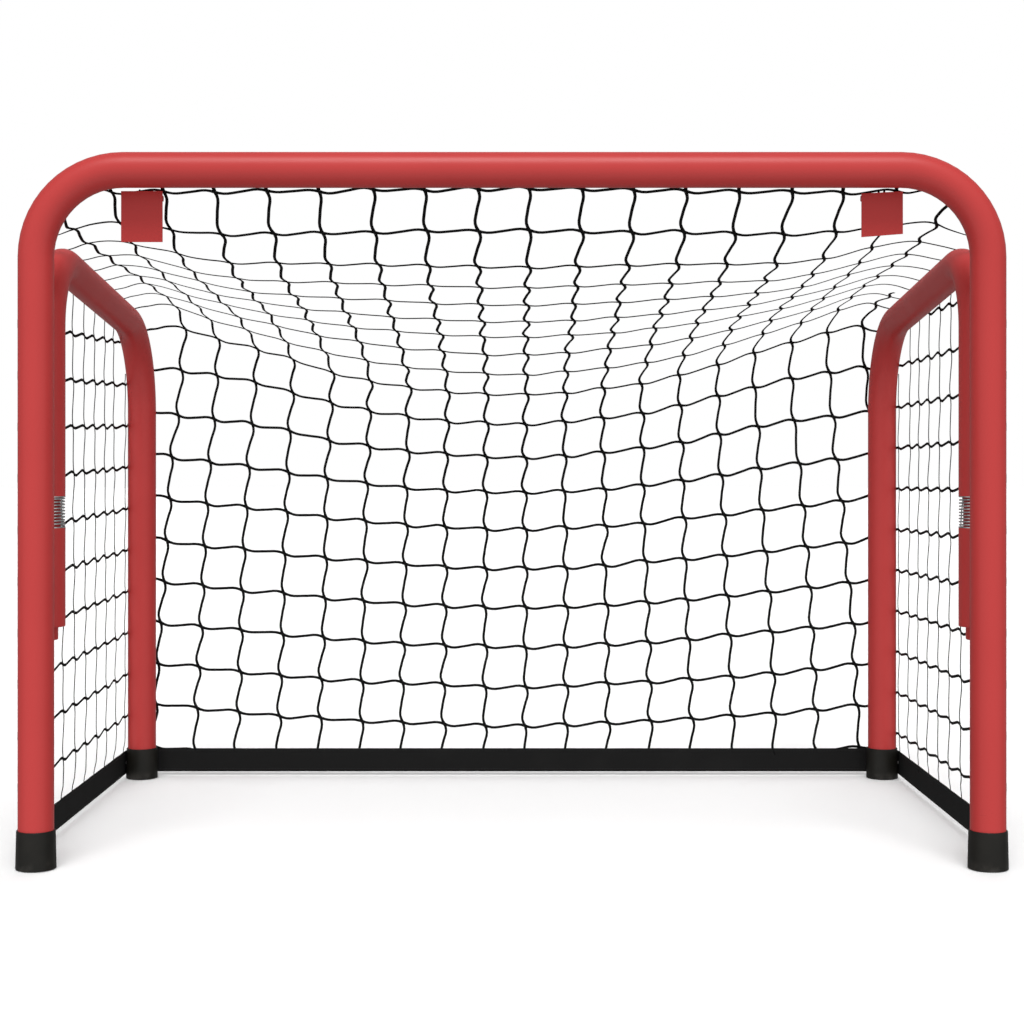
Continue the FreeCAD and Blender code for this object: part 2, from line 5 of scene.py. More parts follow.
import bpy
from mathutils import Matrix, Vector


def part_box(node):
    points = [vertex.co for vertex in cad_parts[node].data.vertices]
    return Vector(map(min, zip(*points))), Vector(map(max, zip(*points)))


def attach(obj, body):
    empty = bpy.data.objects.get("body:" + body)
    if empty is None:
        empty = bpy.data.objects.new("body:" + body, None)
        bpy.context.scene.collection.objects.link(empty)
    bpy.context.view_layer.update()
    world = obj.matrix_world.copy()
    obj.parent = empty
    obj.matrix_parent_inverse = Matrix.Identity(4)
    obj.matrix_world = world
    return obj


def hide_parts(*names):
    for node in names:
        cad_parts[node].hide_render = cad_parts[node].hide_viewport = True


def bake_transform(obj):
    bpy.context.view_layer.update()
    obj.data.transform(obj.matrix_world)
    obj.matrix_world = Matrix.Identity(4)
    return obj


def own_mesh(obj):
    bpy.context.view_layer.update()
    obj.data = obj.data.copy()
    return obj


# Looks of a folding street hockey goal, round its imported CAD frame. Metres.
# In the functions below, depth is measured back from the plane of the posts,
# and at(x, depth, z) turns it into the frame's own Y.
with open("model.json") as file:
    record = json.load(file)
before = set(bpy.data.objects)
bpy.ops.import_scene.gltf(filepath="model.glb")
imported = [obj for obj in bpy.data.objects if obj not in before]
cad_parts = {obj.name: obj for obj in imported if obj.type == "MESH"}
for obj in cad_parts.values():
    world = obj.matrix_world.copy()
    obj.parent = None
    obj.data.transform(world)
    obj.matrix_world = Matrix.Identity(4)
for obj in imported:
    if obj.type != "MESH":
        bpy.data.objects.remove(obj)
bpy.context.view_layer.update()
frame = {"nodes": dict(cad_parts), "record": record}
SIDES = {"left": -1, "right": 1}


def middle_of(node):
    low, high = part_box(node)
    return (Vector(low) + Vector(high)) / 2


# ---- sizes, from the frame where it holds them ----
POST_X = middle_of("right_hinge_sleeve").x
POST_Y = middle_of("right_front_foot_cap").y
HINGE = middle_of("right_hinge_sleeve").y - POST_Y         # depth of the hinge's axis
REAR = middle_of("right_rear_foot_cap").y - POST_Y         # depth of the rear legs
TUBE_R = Vector(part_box("right_hinge_sleeve")[1]).x - POST_X
BAR_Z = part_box("front_frame_tube")[1][2] - TUBE_R
CORNER_R = 0.093          # bends are measured on a tube's axis: the front frame's corners,
FRONT_BEND_R = 0.075      # a side frame's bend above the hinge,
REAR_BEND_R = 0.120       # and its bend above the rear leg
CREST_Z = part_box("right_side_frame_tube")[1][2] - TUBE_R
RUN_FALL = math.radians(6.2)        # slope of a side frame's run to the rear

STRAP_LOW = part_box("rear_base_strap")[0][2]
STRAP_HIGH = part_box("rear_base_strap")[1][2]
STRAP_T = 0.0018
STRAP_R = 0.0228          # middle of the strap from a leg's axis
STRAP_STEPS = 100         # lengths of mesh in a straight run
STRAP_EASE = 0.018        # the net draws in to the strap over this height above it

# the net: a uniform grid of flat braided cord
CORD_HALF_WIDTH = 0.00176
CORD_HALF_THICK = 0.00040
COLUMN_ZERO = 0.019       # the first column right of the middle
ROW_MIDDLE = 0.0547       # cells along the middle of the net
ROW_EDGE = 0.0583         # cells along the side frames
LAST_ROW = 19
SAG_POWER = 1.65          # the middle's sag fades towards the side frames by this power
WRAP_R = TUBE_R + 0.0013  # the net's own line round a tube
STEPS = 12                # lengths of mesh in a cell
STEP_OUT = 0.004          # how far to look along the net for its direction
TIE_DOWN_Z = STRAP_LOW + 0.024      # the net ends here, tied behind the strap
HEAD_RISE = 0.27          # the part of a cell between the head row and the border rope
HEAD_DEPTH = 0.0275
HEAD_Z = 0.729
HEAD_DIP, HEAD_DIP_X = 0.003, 0.30              # the head row hangs lower further out,
HEAD_TUCK, HEAD_TUCK_X = 0.011, 0.425           # is tucked up behind the tube in the corners
HEAD_END_X = 0.460                              # and ends there
FOOT_START_X = 0.410      # the lowest row shows only outside this
TURN_ROW = 9              # the row where the net turns down
COLUMN_HEAD, COLUMN_TURN, COLUMN_FOOT = 0.0567, 0.0507, 0.0577      # between columns
COLUMNS = {"left": range(-9, 0), "right": range(0, 9)}
OUTER_COLUMN = -8         # beyond this column the left half's cell has its own width
# one more column on the right shows only between these rows
RIGHT_EXTRA, RIGHT_EXTRA_FROM, RIGHT_EXTRA_TO = 9, 6.6, 11
CROSSING_LOOSE = 0.0013   # how far a crossing strays
WAVE_LOOSE = 0.25         # how much one cord's wave differs from the next
LIFT = 0.0004             # cords pass over and under each other by this
# the net's line as (depth, z): down its middle, and rows 0 and 1 beside the posts
MIDDLE_LINE = [
    (HEAD_DEPTH, 0.731), (0.060, 0.687), (0.103, 0.652), (0.180, 0.626), (0.259, 0.602),
    (0.336, 0.579), (0.412, 0.546), (0.461, 0.521), (0.501, 0.484), (0.532, 0.439),
    (0.557, 0.391), (0.577, 0.340), (0.5866, 0.286), (0.5872, 0.231), (0.5872, 0.0),
]
CORNER_EDGE = [(HEAD_DEPTH, 0.681), (0.078, 0.684)]
# millimetres that each row, from the head down, stands above a plain sag: halfway out
# (belly), further out (hip, which moves in by HIP_IN a row), and beside the side frames
# (shoulder), where the stiff cord arches over the tube
BELLY = [0, -2, -6, -7, -4.2, 0.8, 4, 7, 9.5, 16.5, 13, 8, 4, 1.5, 0, 0, 0, 0, 0, 0]
BELLY_X, BELLY_WIDTH = 0.355, 0.115
HIP = [0, 9, 9.3, 10, 8.6, 5.2, 3.7, 3, 3, 1.8, 0.8, 0.5, 0, 0, 0, 0, 0, 0, 0, 0]
HIP_X, HIP_IN, HIP_WIDTH = 0.437, 0.0065, 0.080
SHOULDER = [0, 6, 8, 7.8, 9, 11, 13, 13.5, 14.2, 13,
            3.5, -2.5, -3.5, -2.5, -2.5, -1.5, -1, 0.5, 1.5, 0]
SHOULDER_WIDTH = 0.050
EDGE_EASE = 0.04          # belly and hip fade out over this distance from a side frame,
WAVE_EASE = 0.02          # and a cord's waves over this

CLIP_R = TUBE_R + 0.00325     # the border rope's line from a tube's axis
ROPE_R = 0.0016
ROPE_START_Z = 0.056          # its two ends, below the lowest clips
ROPE_TURN = math.pi / 4       # how far round towards the outer side it runs on the posts
# side rows: how many, which rear row the lowest one joins, and its height and the
# distance up to the next, at the post and at the rear leg
SIDE_ROWS = {"left": 10, "right": 11}
SIDE_JOINS = {"left": 18, "right": 19}
SIDE_FRONT = {"left": (0.0840, 0.0553), "right": (0.0705, 0.0554)}
SIDE_REAR = {"left": (0.0842, 0.0568), "right": (0.0612, 0.0559)}
SIDE_COLUMN = 0.0579          # between side columns at the floor,
SIDE_COLUMN_ZERO = 0.032      # and the depth of the first
SIDE_COLUMNS = 10
SIDE_JOIN_REACH = 0.7         # a side row bends to a rear row within this many rows
SIDE_CLEAR, SIDE_CLEAR_Z = 0.010, 0.012               # no crossing this close to the tube
SIDE_ROW_EASE, SIDE_START_EASE = 0.03, 0.01           # a side row's waves fade at its ends
KNOT_R, END_KNOT_R = 0.0028, 0.0032


def at(x, depth, z):
    return Vector((x, POST_Y + depth, z))


def smooth(t):
    t = min(max(t, 0.0), 1.0)
    return t * t * (3 - 2 * t)


def mix(a, b, t):
    return a + (b - a) * t


# ---- camera, light and floor ----
def make_camera():
    """Level, a little above the goal's middle, two metres before the posts."""
    data = bpy.data.cameras.new("camera")
    data.sensor_width = 36.0
    data.lens = 65.07
    data.shift_y = -0.0503
    data.clip_end = 60.0
    camera = bpy.data.objects.new("camera", data)
    camera.location = at(0.0, -1.975, 0.435)
    camera.rotation_euler = (math.radians(90), 0, 0)
    bpy.context.collection.objects.link(camera)
    bpy.context.scene.camera = camera


def soft_light(name, azimuth, elevation, spread, share):
    """A broad, distant softbox. Azimuth 0 is in front; share is of full white light."""
    data = bpy.data.lights.new(name, "SUN")
    data.energy = math.pi * share
    data.angle = math.radians(spread)
    lamp = bpy.data.objects.new(name, data)
    a, e = math.radians(azimuth), math.radians(elevation)
    towards = Vector((math.sin(a) * math.cos(e), -math.cos(a) * math.cos(e), math.sin(e)))
    lamp.location = towards * 4
    lamp.rotation_euler = towards.to_track_quat("Z", "Y").to_euler()
    bpy.context.collection.objects.link(lamp)
    return lamp


def plain_white(name, colour, glow):
    """A matt white with a glow of its own, for the floor and the dome."""
    material = bpy.data.materials.new(name)
    material.use_nodes = True
    shader = material.node_tree.nodes["Principled BSDF"]
    shader.inputs["Base Color"].default_value = (colour, colour, colour, 1)
    shader.inputs["Roughness"].default_value = 1.0
    shader.inputs["Specular IOR Level"].default_value = 0.0
    shader.inputs["Emission Color"].default_value = (1, 1, 1, 1)
    shader.inputs["Emission Strength"].default_value = glow
    return material


def make_studio():
    """A white floor and a white dome that doesn't light the goal; soft lights do."""
    scene = bpy.context.scene
    scene.view_settings.view_transform = "Standard"
    world = bpy.data.worlds.new("studio")
    scene.world = world
    world.use_nodes = True
    background = world.node_tree.nodes["Background"]
    background.inputs["Color"].default_value = (1.0, 1.0, 1.0, 1.0)
    background.inputs["Strength"].default_value = 0.28
    soft_light("key", 0, 60, 30, 0.55)
    soft_light("front", 0, 8, 150, 0.47)
    soft_light("back", 172, 30, 60, 0.34).visible_glossy = False

    bpy.ops.mesh.primitive_plane_add(size=60.0, location=(0, 0, -0.0006))
    floor = bpy.context.object
    floor.name = "studio_floor"
    floor.data.materials.append(plain_white("studio_floor", 0.90, 0.10))
    bpy.ops.mesh.primitive_uv_sphere_add(radius=28.0, segments=64, ring_count=32)
    dome = bpy.context.object
    dome.name = "studio_dome"
    dome.data.materials.append(plain_white("studio_dome", 0.0, 1.0))
    for backdrop in (floor, dome):
        backdrop.visible_diffuse = False
        backdrop.visible_glossy = False
    dome.visible_shadow = False


# ---- materials ----
class Nodes:
    """A small helper that adds and links shader nodes in one material."""

    def __init__(self, name):
        self.material = bpy.data.materials.new(name)
        self.material.use_nodes = True
        self.tree = self.material.node_tree
        self.shader = self.tree.nodes["Principled BSDF"]
        self.place = self.add("ShaderNodeTexCoord").outputs["Object"]

    def add(self, kind, **inputs):
        node = self.tree.nodes.new(kind)
        for key, value in inputs.items():
            self.put(node.inputs[key.replace("_", " ")], value)
        return node

    def put(self, socket, value):
        if isinstance(value, bpy.types.NodeSocket):
            self.tree.links.new(value, socket)
        else:
            socket.default_value = value

    def set(self, **inputs):
        for key, value in inputs.items():
            self.put(self.shader.inputs[key.replace("_", " ")], value)

    def noise(self, scale, detail=3.0, place=None):
        node = self.add("ShaderNodeTexNoise", Scale=scale, Detail=detail)
        self.put(node.inputs["Vector"], place or self.place)
        return node.outputs["Fac"]

    def ramp(self, value, low, high, to_low=0.0, to_high=1.0):
        """The value's place between low and high, as a number from to_low to to_high."""
        node = self.add("ShaderNodeMapRange", Value=value)
        node.clamp = True
        limits = {"From Min": low, "From Max": high, "To Min": to_low, "To Max": to_high}
        for key, number in limits.items():
            node.inputs[key].default_value = number
        return node.outputs["Result"]

    def math(self, operation, a, b=0.0):
        node = self.add("ShaderNodeMath")
        node.operation = operation
        self.put(node.inputs[0], a)
        self.put(node.inputs[1], b)
        return node.outputs[0]

    def blend(self, factor, a, b):
        """A colour between a and b, which are colours or sockets."""
        node = self.tree.nodes.new("ShaderNodeMix")
        node.data_type = "RGBA"
        self.put(node.inputs[0], factor)
        for socket, value in ((node.inputs[6], a), (node.inputs[7], b)):
            self.put(socket, (*value, 1) if isinstance(value, tuple) else value)
        return node.outputs[2]

    def stretched(self, scales):
        """The object's own coordinates, scaled along each axis."""
        node = self.add("ShaderNodeMapping")
        self.put(node.inputs["Vector"], self.place)
        node.inputs["Scale"].default_value = scales
        return node.outputs["Vector"]

    def bump(self, height, distance, strength):
        node = self.add("ShaderNodeBump", Height=height, Distance=distance, Strength=strength)
        self.put(self.shader.inputs["Normal"], node.outputs["Normal"])

    def parts(self, vector):
        return self.add("ShaderNodeSeparateXYZ", Vector=vector).outputs


def powder_coat(name, colour, deep):
    """Satin powder coat: orange peel, faint cloudiness and light scuffs near the floor."""
    n = Nodes(name)
    base = n.blend(n.ramp(n.noise(5.0, 2.0), 0.35, 0.65), colour, deep)
    low = n.ramp(n.parts(n.place)["Z"], 0.045, 0.16, 1.0, 0.0)
    scratches = n.noise(3.0, 5.0, n.stretched((34.0, 34.0, 260.0)))
    scuff = n.math("MULTIPLY", n.ramp(scratches, 0.66, 0.74), low)
    base = n.blend(n.math("MULTIPLY", scuff, 0.35), base, tuple(c * 0.62 for c in colour))
    rough = n.ramp(n.noise(14.0, 3.0), 0.3, 0.7, 0.36, 0.42)
    n.set(Base_Color=base, Roughness=n.math("ADD", rough, n.math("MULTIPLY", scuff, 0.2)),
          Specular_IOR_Level=0.33)
    n.bump(n.noise(380.0, 1.0), 0.00006, 0.3)
    return n.material


def rubber():
    """Dull black rubber with a fine grain, dusty where it meets the floor."""
    n = Nodes("moulded_rubber")
    cloudy = n.ramp(n.noise(35.0, 4.0), 0.35, 0.7)
    base = n.blend(cloudy, (0.0075, 0.0070, 0.0052), (0.0130, 0.0115, 0.0090))
    low = n.ramp(n.parts(n.place)["Z"], 0.0, 0.012, 1.0, 0.0)
    dust = n.math("MULTIPLY", low, n.ramp(n.noise(90.0, 5.0), 0.45, 0.65))
    base = n.blend(n.math("MULTIPLY", dust, 0.5), base, (0.055, 0.050, 0.044))
    rough = n.ramp(n.noise(50.0), 0.3, 0.7, 0.40, 0.55)
    n.set(Base_Color=base, Roughness=rough, Specular_IOR_Level=0.26)
    n.bump(n.noise(650.0, 2.0), 0.00008, 0.4)
    return n.material


def metal(name, colour, rough, tarnish):
    """Bright steel with fine drawing lines and a little tarnish."""
    n = Nodes(name)
    lines = n.noise(2.0, 4.0, n.stretched((90.0, 90.0, 900.0)))
    dull = n.ramp(n.noise(160.0, 4.0), 0.45, 0.70)
    n.set(Base_Color=n.blend(dull, colour, tarnish), Metallic=1.0,
          Roughness=n.ramp(lines, 0.3, 0.7, rough, rough + 0.16))
    n.bump(lines, 0.00005, 0.4)
    return n.material


def moulded(name, colour, worn):
    """Moulded nylon: a slightly rough, cloudy plastic."""
    n = Nodes(name)
    base = n.blend(n.ramp(n.noise(45.0, 4.0), 0.35, 0.7), colour, worn)
    n.set(Base_Color=base, Roughness=n.ramp(n.noise(80.0), 0.3, 0.7, 0.38, 0.55))
    n.bump(n.noise(500.0, 2.0), 0.00006, 0.5)
    return n.material


def braided_cord():
    """Flat braid: crossing diagonal yarns along the cord, from its own UV."""
    n = Nodes("braided_cord")
    uv = n.add("ShaderNodeUVMap").outputs["UV"]
    along = n.math("MULTIPLY", n.parts(uv)["X"], 2 * math.pi / 0.0022)
    round_it = n.math("MULTIPLY", n.parts(uv)["Y"], 2 * math.pi * 3)
    right = n.math("SINE", n.math("ADD", along, round_it))
    left = n.math("SINE", n.math("SUBTRACT", along, round_it))
    yarns = n.math("MAXIMUM", right, left)
    tone = n.blend(n.ramp(yarns, -0.2, 1.0), (0.0020, 0.0020, 0.0020), (0.0060, 0.0060, 0.0062))
    fuzz = n.ramp(n.noise(260.0, 4.0), 0.55, 0.8, 0.0, 0.5)
    n.set(Base_Color=n.blend(fuzz, tone, (0.011, 0.011, 0.0105)), Roughness=0.80,
          Specular_IOR_Level=0.12)
    n.bump(yarns, 0.00018, 0.6)
    return n.material


def woven_webbing():
    """Plain-weave webbing: rows of yarn across, crimped warp along, from its UV."""
    n = Nodes("woven_webbing")
    uv = n.parts(n.add("ShaderNodeUVMap").outputs["UV"])
    warp = n.math("MULTIPLY", uv["X"], math.pi / 0.0011)
    weft = n.math("MULTIPLY", uv["Y"], math.pi / 0.0014)
    weave = n.math("MULTIPLY", n.math("SINE", warp), n.math("SINE", weft))
    ribs = n.math("ABSOLUTE", weave)
    tone = n.blend(n.ramp(ribs, 0.0, 0.9), (0.006, 0.006, 0.006), (0.0140, 0.0140, 0.0140))
    worn = n.ramp(n.noise(18.0, 5.0), 0.50, 0.75, 0.0, 0.45)
    n.set(Base_Color=n.blend(worn, tone, (0.015, 0.0148, 0.0145)), Roughness=0.85,
          Specular_IOR_Level=0.15)
    n.bump(ribs, 0.00020, 0.6)
    return n.material


def stitching_thread():
    """Black twisted thread, a little lighter than the webbing under it."""
    n = Nodes("stitching_thread")
    twist = n.noise(900.0, 2.0)
    n.set(Base_Color=n.blend(twist, (0.012, 0.012, 0.012), (0.030, 0.030, 0.030)),
          Roughness=0.7, Specular_IOR_Level=0.2)
    n.bump(twist, 0.00005, 0.5)
    return n.material


# ---- mesh work ----
class Tubes:
    """Collects tubes of oval section into one mesh, with UVs in metres along them."""

    def __init__(self, section=8):
        self.section = section
        self.points = []
        self.faces = []
        self.uvs = []

    def add(self, line, widths, thicks):
        """line holds (point, normal); widths and thicks are half sizes at each."""
        if len(line) < 2:
            return
        first = len(self.points)
        count = self.section
        length = 0.0
        marks = []
        for i, (point, normal) in enumerate(line):
            before = line[max(i - 1, 0)][0]
            after = line[min(i + 1, len(line) - 1)][0]
            along = (after - before).normalized()
            across = normal.cross(along).normalized()
            up = along.cross(across)
            if i:
                length += (point - before).length
            marks.append(length)
            for c in range(count):
                turn = 2 * math.pi * c / count
                self.points.append(point + across * (widths[i] * math.cos(turn))
                                   + up * (thicks[i] * math.sin(turn)))
        for i in range(len(line) - 1):
            for c in range(count):
                d = (c + 1) % count
                a = first + i * count
                b = a + count
                self.faces.append((a + c, a + d, b + d, b + c))
                low, high = c / count, (c + 1) / count
                self.uvs.append(((marks[i], low), (marks[i], high),
                                 (marks[i + 1], high), (marks[i + 1], low)))
        last = first + (len(line) - 1) * count
        self.faces.append(tuple(first + c for c in reversed(range(count))))
        self.uvs.append(((0.0, 0.0),) * count)
        self.faces.append(tuple(last + c for c in range(count)))
        self.uvs.append(((length, 0.0),) * count)

    def make(self, name, material):
        return mesh_piece(name, self.points, self.faces, self.uvs, material)


def mesh_piece(name, points, faces, uvs, material):
    """A smooth mesh object; uvs holds each face's (u, v) pairs."""
    mesh = bpy.data.meshes.new(name)
    mesh.from_pydata([tuple(p) for p in points], [], faces)
    layer = mesh.uv_layers.new(name="along")
    flat = [number for face in uvs for pair in face for number in pair]
    layer.data.foreach_set("uv", flat)
    mesh.polygons.foreach_set("use_smooth", [True] * len(mesh.polygons))
    mesh.materials.append(material)
    mesh.update()
    piece = bpy.data.objects.new(name, mesh)
    bpy.context.collection.objects.link(piece)
    return piece


# ---- the net's surface ----
def along_line(points):
    """A smooth line through points, closely spaced: (length so far, first, second value)."""
    samples = []
    total = 0.0
    last = len(points) - 1
    spacing = 16
    for i in range(last):
        a, b, c, d = (Vector(points[min(max(i + k, 0), last)]) for k in (-1, 0, 1, 2))
        for step in range(spacing):
            t = step / spacing
            p = 0.5 * (2 * b + (c - a) * t + (2 * a - 5 * b + 4 * c - d) * t ** 2
                       + (3 * b - a - 3 * c + d) * t ** 3)
            if samples:
                total += (p - Vector(samples[-1][1:])).length
            samples.append((total, p.x, p.y))
    return samples


MIDDLE = along_line(MIDDLE_LINE)


def middle_point(v):
    """Depth and height of row v at the middle of the net."""
    length = max(v, 0.0) * ROW_MIDDLE
    for (s0, y0, z0), (s1, y1, z1) in zip(MIDDLE, MIDDLE[1:]):
        if s1 >= length:
            t = (length - s0) / (s1 - s0)
            return mix(y0, y1, t), mix(z0, z1, t)
    return MIDDLE[-1][1], MIDDLE[-1][2] - (length - MIDDLE[-1][0])


RUN_TURN = math.pi / 2 - RUN_FALL
RUN_UP = Vector((math.sin(RUN_FALL), math.cos(RUN_FALL)))
RUN_BACK = Vector((math.cos(RUN_FALL), -math.sin(RUN_FALL)))
RUN_START = Vector((HINGE + FRONT_BEND_R, CREST_Z - FRONT_BEND_R)) + RUN_UP * FRONT_BEND_R
RUN_LENGTH = (REAR - REAR_BEND_R * (1 - RUN_UP.x) - RUN_START.x) / RUN_BACK.x
REAR_CENTRE = RUN_START + RUN_BACK * RUN_LENGTH - RUN_UP * REAR_BEND_R
RUN_LEAD = 0.003          # row 2 crosses this far behind the start of the straight run


def tube_crossing(v):
    """Where row v crosses a side frame: the tube's axis there, and the way out of it."""
    if v < 2:
        t = v if v < 1 else v - 1
        ends = CORNER_EDGE + [tuple(tube_crossing(2)[0] + RUN_UP * WRAP_R)]
        a, b = (Vector(p) for p in (ends[:2] if v < 1 else ends[1:]))
        return mix(a, b, t) - RUN_UP * WRAP_R, RUN_UP
    length = (v - 2) * ROW_EDGE + RUN_LEAD
    if length < RUN_LENGTH:
        return RUN_START + RUN_BACK * length, RUN_UP
    turn = RUN_TURN - (length - RUN_LENGTH) / (REAR_BEND_R + WRAP_R)
    if turn > 0:
        out = Vector((math.cos(turn), math.sin(turn)))
        return REAR_CENTRE + out * REAR_BEND_R, out
    below = -turn * (REAR_BEND_R + WRAP_R)
    return REAR_CENTRE + Vector((REAR_BEND_R, -below)), Vector((1.0, 0.0))


def corner_drop(x):
    """How far the front frame's tube has come down from the bar's height at width x."""
    past = max(0.0, abs(x) - (POST_X - CORNER_R))
    return CORNER_R - math.sqrt(max(CORNER_R ** 2 - past ** 2, 0.0))


def row_value(values, v):
    """The value for row v, in metres, from a list of whole rows in millimetres."""
    low = min(int(v), len(values) - 2)
    return mix(values[low], values[low + 1], v - low) * 0.001


def swell_up(x, v):
    """How far the net stands above a plain sag at width x and row v."""
    inwards = max(POST_X - abs(x), 0.0)
    fade = smooth(inwards / EDGE_EASE)
    hip_x = HIP_X - HIP_IN * min(v, TURN_ROW)
    belly = math.exp(-((abs(x) - BELLY_X) / BELLY_WIDTH) ** 2) * fade
    hip = math.exp(-((abs(x) - hip_x) / HIP_WIDTH) ** 2) * fade
    reach = inwards / SHOULDER_WIDTH
    shoulder = reach * math.exp(0.5 - 0.5 * reach ** 2)
    return (row_value(BELLY, v) * belly + row_value(HIP, v) * hip
            + row_value(SHOULDER, v) * shoulder)


def near_strap(z):
    """0 well above the strap, rising to 1 at its top edge."""
    return smooth((STRAP_HIGH + STRAP_EASE - z) / STRAP_EASE)


def net_place(x, v):
    """A point of the top and rear net at width x and row v."""
    if v < 1:
        tuck = HEAD_TUCK * smooth((abs(x) - HEAD_TUCK_X) / (HEAD_END_X - HEAD_TUCK_X))
        drop = HEAD_DIP * smooth(abs(x) / HEAD_DIP_X) + corner_drop(x) - tuck
        head = at(x, HEAD_DEPTH, max(HEAD_Z - drop, CORNER_EDGE[0][1]))
        if v >= 0:
            return mix(head, net_place(x, 1.0), v)
        rope = at(x, CLIP_R, BAR_Z - corner_drop(x))
        return mix(head, rope, min(-v / HEAD_RISE, 1.0))
    share = (abs(x) / POST_X) ** SAG_POWER
    depth, height = middle_point(v)
    axis, out = tube_crossing(v)
    edge = axis + out * WRAP_R
    depth = mix(depth, edge.x, share)
    height = mix(height, edge.y, share) + swell_up(x, v)
    return at(x, mix(depth, REAR + STRAP_R, near_strap(height)), height)


def net_frame(x, v):
    """The point, and the unit ways right, down and out of the net there."""
    point = net_place(x, v)
    right = net_place(x + STEP_OUT, v) - net_place(x - STEP_OUT, v)
    if v < 0:
        down = net_place(x, 0.0) - net_place(x, -HEAD_RISE)
    else:
        look = 0.06
        down = net_place(x, v + look) - net_place(x, max(v - look, 0.0))
    right.normalize()
    down.normalize()
    return point, right, down, down.cross(right).normalized()


def column_pitch(v, left):
    """Columns stand closest where the net turns down; the two halves differ a little."""
    if v < TURN_ROW:
        pitch = mix(COLUMN_HEAD, COLUMN_TURN, (max(v, 0.0) / TURN_ROW) ** 1.3)
    else:
        pitch = mix(COLUMN_FOOT, COLUMN_TURN, (1 - (v - TURN_ROW) / 10.5) ** 1.7)
    if left:
        pitch += 0.0008 * smooth(v / 3) - 0.0014 * smooth((v - 11) / 6)
    return pitch


def outer_cell(v):
    """How much of a full cell the outermost column on the left stands out by at row v."""
    return (0.82 + 0.13 * smooth((3 - v) / 2.5) + 0.14 * smooth((v - 7.5) / 2)
            + 0.04 * smooth((v - 13) / 4))


def column_x(u, v):
    """The width at which column u crosses row v."""
    past = min(u - OUTER_COLUMN, 0)
    cells = max(u, OUTER_COLUMN) + past * outer_cell(v)
    x = COLUMN_ZERO + column_pitch(v, u < 0) * cells
    if v < 0:                 # the ties to the rope lean, most of all on the left
        x += v / HEAD_RISE * (0.0025 - 0.010 * x)
    return x


def column_number(x, v):
    """The column number at width x in row v."""
    cells = (x - COLUMN_ZERO) / column_pitch(v, x < COLUMN_ZERO)
    past = min(cells - OUTER_COLUMN, 0)
    return max(cells, OUTER_COLUMN) + past / outer_cell(v)


# ---- how a cord runs between crossings ----
def cord_wave(f, whole, double, half):
    """Whole, double and half waves of these sizes; f goes from 0 to 1 along a cell."""
    return (whole * math.sin(2 * math.pi * f) + double * math.sin(4 * math.pi * f)
            + half * math.sin(math.pi * f))


def row_wave(f):
    """A row dips just after a crossing and humps before the next; down is positive."""
    return cord_wave(f, 0.0021, 0.0004, 0.0004)


def column_wave(f):
    """A column swings right just below a crossing, then left; right is positive."""
    return cord_wave(f, 0.0027, 0.0006, -0.0014)


def loose(kind, *place):
    """A steady small number in -1..1 for a crossing or a cell of the net."""
    return random.Random(kind + str(place)).uniform(-1, 1)


def crossing_shift(u, v):
    """How far right and down the crossing of column u and row v has slipped."""
    return Vector((loose("backx", u, v), loose("backy", u, v))) * CROSSING_LOOSE


def wave_size(kind, *place):
    return 1 + WAVE_LOOSE * loose(kind, *place)


def swell(f):
    """A cord is wider where it passes through another."""
    near = min(f, 1 - f)
    return 1 + 0.20 * math.exp(-(near / 0.07) ** 2)


def even_steps(start, end):
    """Numbers from start to end that hit every 1/STEPS between them."""
    first = math.ceil(start * STEPS + 0.2)
    last = math.floor(end * STEPS - 0.2)
    return [start] + [i / STEPS for i in range(first, last + 1)] + [end]


def add_cord(tubes, line, sizes):
    """A flat cord along line; sizes are 1 where it is plain and more where it swells."""
    widths = [CORD_HALF_WIDTH * s for s in sizes]
    thicks = [CORD_HALF_THICK * (0.6 + 0.4 * s) for s in sizes]
    tubes.add(line, widths, thicks)


def add_row(tubes, v, x_from, x_to):
    """Row v between two widths; the last row stops where it goes behind the strap."""
    line, sizes = [], []
    for u in even_steps(column_number(x_from, v), column_number(x_to, v)):
        cell = math.floor(u)
        f = u - cell
        x = column_x(u, v)
        keep = smooth((POST_X - abs(x)) / WAVE_EASE)     # 0 where the row lies on a tube
        shift = crossing_shift(cell, v).lerp(crossing_shift(cell + 1, v), smooth(f)) * keep
        dip = row_wave(f) * wave_size("backrow", cell, v) * keep
        point, right, down, out = net_frame(x, v)
        lift = LIFT * math.cos(math.pi * (u + v)) * keep
        point = point + right * shift.x + down * (shift.y + dip) + out * lift
        if v < LAST_ROW or point.z > TIE_DOWN_Z:
            line.append((point, out))
            sizes.append(swell(f) if keep > 0.5 else 1.0)
    add_cord(tubes, line, sizes)


def add_column(tubes, u, v_from, v_to):
    """Column u between two rows, down to where it is tied behind the strap."""
    line, sizes = [], []
    for v in even_steps(v_from, v_to):
        cell = math.floor(v)
        f = v - cell
        if v < 0:
            cell, f = 0, 0.0
        shift = crossing_shift(u, cell).lerp(crossing_shift(u, cell + 1), smooth(f))
        swing = column_wave(f) * wave_size("backcolumn", u, cell)
        point, right, down, out = net_frame(column_x(u, v), v)
        lift = -LIFT * math.cos(math.pi * (u + v)) if v > 0 else 0.0
        point = point + right * (shift.x + swing) + down * shift.y + out * lift
        line.append((point, out))
        sizes.append(swell(f))
        if point.z < TIE_DOWN_Z:
            break
    add_cord(tubes, line, sizes)


